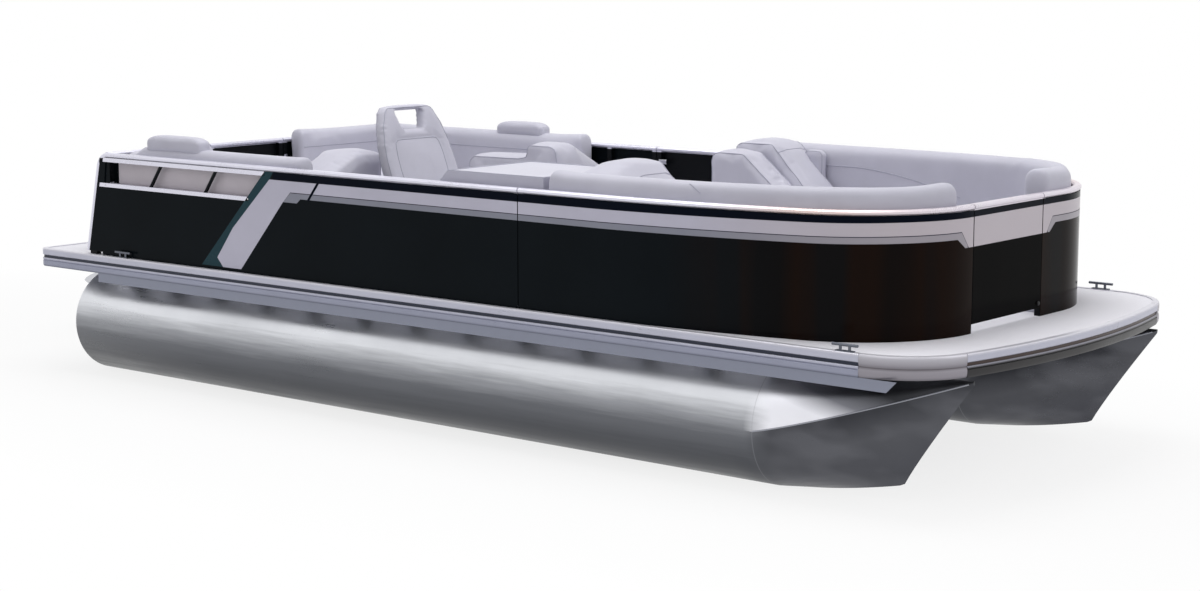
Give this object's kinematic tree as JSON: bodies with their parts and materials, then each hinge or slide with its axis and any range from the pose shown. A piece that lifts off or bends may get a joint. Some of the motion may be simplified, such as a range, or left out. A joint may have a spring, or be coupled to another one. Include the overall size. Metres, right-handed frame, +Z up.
{
  "type": "pontoon boat",
  "caption": "Twin-tube pontoon boat with a fenced deck, wraparound lounges, helm, swinging gates, folding ladder and an outboard motor.",
  "frame": {"origin": "on the floor under the middle of the overall box, between the two hull tubes", "axes": "+X towards the bow, +Y to port, +Z up"},
  "size_m": [7.6097, 2.59, 1.7125],
  "materials": {
    "tube_aluminium": "brushed",
    "frame_aluminium": "mill finish",
    "rail_aluminium": "satin anodised",
    "skirt_paint": "satin",
    "panel_paint": "gloss",
    "deck_vinyl": "woven vinyl",
    "lounge_plastic": "satin",
    "seat_vinyl": "soft vinyl",
    "console_plastic": "gloss",
    "wheel_rubber": "soft grip",
    "bright_steel": "polished",
    "motor_paint": "gloss"
  },
  "bodies": {
    "hull": {"tube_starboard": "tube_aluminium", "tube_port": "tube_aluminium", "tube_risers": "frame_aluminium", "cross_channels": "frame_aluminium", "deck_panel": "deck_vinyl", "deck_rails_side": "rail_aluminium", "deck_rails_end": "rail_aluminium", "bow_corner_castings": "rail_aluminium", "side_skirts": "skirt_paint", "fence_frame_starboard_aft": "rail_aluminium", "fence_skin_starboard_aft": "panel_paint", "fence_frame_port_aft": "rail_aluminium", "fence_skin_port_aft": "panel_paint", "fence_frame_starboard_bow": "rail_aluminium", "fence_skin_starboard_bow": "panel_paint", "fence_frame_port_bow": "rail_aluminium", "fence_skin_port_bow": "panel_paint", "fence_frame_stern": "rail_aluminium", "fence_skin_stern": "panel_paint", "gate_hinges": "rail_aluminium", "lounge_base_bow_starboard": "lounge_plastic", "lounge_base_bow_port": "lounge_plastic", "lounge_bases_bow_corner": "lounge_plastic", "lounge_back_bow_starboard": "seat_vinyl", "lounge_back_bow_port": "seat_vinyl", "seats_bow_corner": "seat_vinyl", "chaise_backs": "seat_vinyl", "lounge_base_aft_starboard": "lounge_plastic", "lounge_base_aft_port": "lounge_plastic", "lounge_back_aft_starboard": "seat_vinyl", "lounge_back_aft_port": "seat_vinyl", "seats_aft_corner": "seat_vinyl", "aft_arm_cushions": "seat_vinyl", "headrests": "seat_vinyl", "helm_console": "console_plastic", "chair_pedestal": "bright_steel", "motor_pod": "frame_aluminium", "motor_clamp": "motor_paint", "ladder_brackets": "bright_steel", "mooring_cleats": "bright_steel"},
    "bow_gate": {"gate_bow": "panel_paint"},
    "stern_gate": {"gate_stern": "panel_paint"},
    "side_gate": {"gate_port": "panel_paint"},
    "helm_chair": {"chair_seat": "seat_vinyl", "chair_back": "seat_vinyl"},
    "lid_bow_starboard": {"seat_bow_starboard": "seat_vinyl"},
    "lid_bow_port": {"seat_bow_port": "seat_vinyl"},
    "lid_aft_starboard": {"seat_aft_starboard": "seat_vinyl"},
    "lid_aft_port": {"seat_aft_port": "seat_vinyl"},
    "helm_wheel": {"steering_wheel": "wheel_rubber"},
    "motor_bracket": {"motor_swivel": "motor_paint"},
    "motor": {"motor_leg": "motor_paint", "motor_cowl": "motor_paint"},
    "motor_propeller": {"propeller": "bright_steel"},
    "ladder_top": {"ladder_upper": "bright_steel"},
    "ladder_end": {"ladder_lower": "bright_steel"}
  },
  "joints": [
    {"name": "bow_gate_swing", "type": "hinge", "parent": "hull", "child": "bow_gate", "pos_m": [3.35899, 0.235, 1.076], "axis": [0, 0, -1], "range_deg": [0, 90]},
    {"name": "stern_gate_swing", "type": "hinge", "parent": "hull", "child": "stern_gate", "pos_m": [-2.12901, 0.223, 1.076], "axis": [0, 0, 1], "range_deg": [0, 90]},
    {"name": "side_gate_swing", "type": "hinge", "parent": "hull", "child": "side_gate", "pos_m": [0.86803, 1.199, 1.076], "axis": [0, 0, 1], "range_deg": [0, 90]},
    {"name": "chair_swivel", "type": "hinge", "parent": "hull", "child": "helm_chair", "pos_m": [-0.0149, -0.45, 1.08], "axis": [0, 0, 1], "continuous": true},
    {"name": "lid_aft_starboard_lift", "type": "hinge", "parent": "hull", "child": "lid_aft_starboard", "pos_m": [-1.43501, -1.039, 1.167], "axis": [1, 0, 0], "range_deg": [0, 75]},
    {"name": "lid_aft_port_lift", "type": "hinge", "parent": "hull", "child": "lid_aft_port", "pos_m": [-1.43501, 1.039, 1.167], "axis": [-1, 0, 0], "range_deg": [0, 75]},
    {"name": "lid_bow_starboard_lift", "type": "hinge", "parent": "hull", "child": "lid_bow_starboard", "pos_m": [2.00515, -1.03195, 1.167], "axis": [0.9946, 0.1038, 0], "range_deg": [0, 75]},
    {"name": "lid_bow_port_lift", "type": "hinge", "parent": "hull", "child": "lid_bow_port", "pos_m": [1.75506, 1.03895, 1.167], "axis": [-0.9968, 0.0802, 0], "range_deg": [0, 75]},
    {"name": "wheel_turn", "type": "hinge", "parent": "hull", "child": "helm_wheel", "pos_m": [0.42015, -0.8575, 1.245], "axis": [-0.8192, 0, 0.5736], "range_deg": [-610, 610]},
    {"name": "motor_tilt", "type": "hinge", "parent": "hull", "child": "motor_bracket", "pos_m": [-2.92001, 0, 0.735], "axis": [0, 1, 0], "range_deg": [-42, 25]},
    {"name": "motor_steer", "type": "hinge", "parent": "motor_bracket", "child": "motor", "pos_m": [-2.97517, 0, 0.7781], "axis": [0.6157, 0, 0.788], "range_deg": [-30, 30]},
    {"name": "propeller_spin", "type": "hinge", "parent": "motor", "child": "motor_propeller", "pos_m": [-3.66852, 0, 0.36169], "axis": [0.788, 0, -0.6157], "continuous": true},
    {"name": "ladder_fold", "type": "hinge", "parent": "hull", "child": "ladder_top", "pos_m": [-2.81501, 0.8, 0.796], "axis": [0, -1, 0], "range_deg": [0, 255]},
    {"name": "ladder_unfold", "type": "hinge", "parent": "ladder_top", "child": "ladder_end", "pos_m": [-2.51501, 0.8, 0.813], "axis": [0, 1, 0], "range_deg": [0, 180]}
  ],
  "couplings": [
    {"joint": "wheel_turn", "follows": "motor_steer", "ratio": -20}
  ]
}
